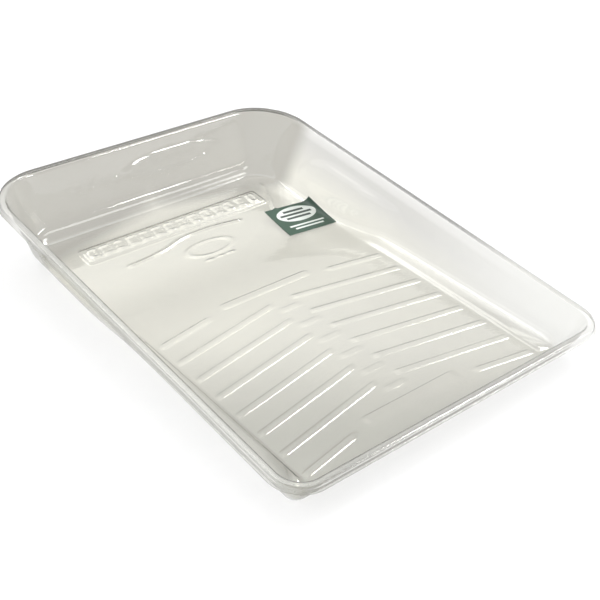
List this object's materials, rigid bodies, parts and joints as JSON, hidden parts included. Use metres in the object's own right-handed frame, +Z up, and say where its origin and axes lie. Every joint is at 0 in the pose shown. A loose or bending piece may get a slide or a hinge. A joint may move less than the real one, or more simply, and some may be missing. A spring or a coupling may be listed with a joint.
{
  "type": "paint roller tray",
  "caption": "Clear one-piece thermoformed paint roller tray with a deep well, a ribbed ramp and a rolled rim; the well floor carries a label.",
  "frame": {"origin": "middle of the bounding box at its lowest point, with the empty tray lying at rest on the front edge of the well and the shallow end of the ramp", "axes": "+Z up, +X across the width, +Y towards the deep end"},
  "size_m": [0.2906, 0.3876, 0.0673],
  "materials": {
    "clear_pet": "clear glossy thermoformed PET sheet with a faint grey-olive tint",
    "printed_label": null
  },
  "bodies": {
    "root": {"tray_shell": "clear_pet", "label": "printed_label"}
  },
  "joints": []
}
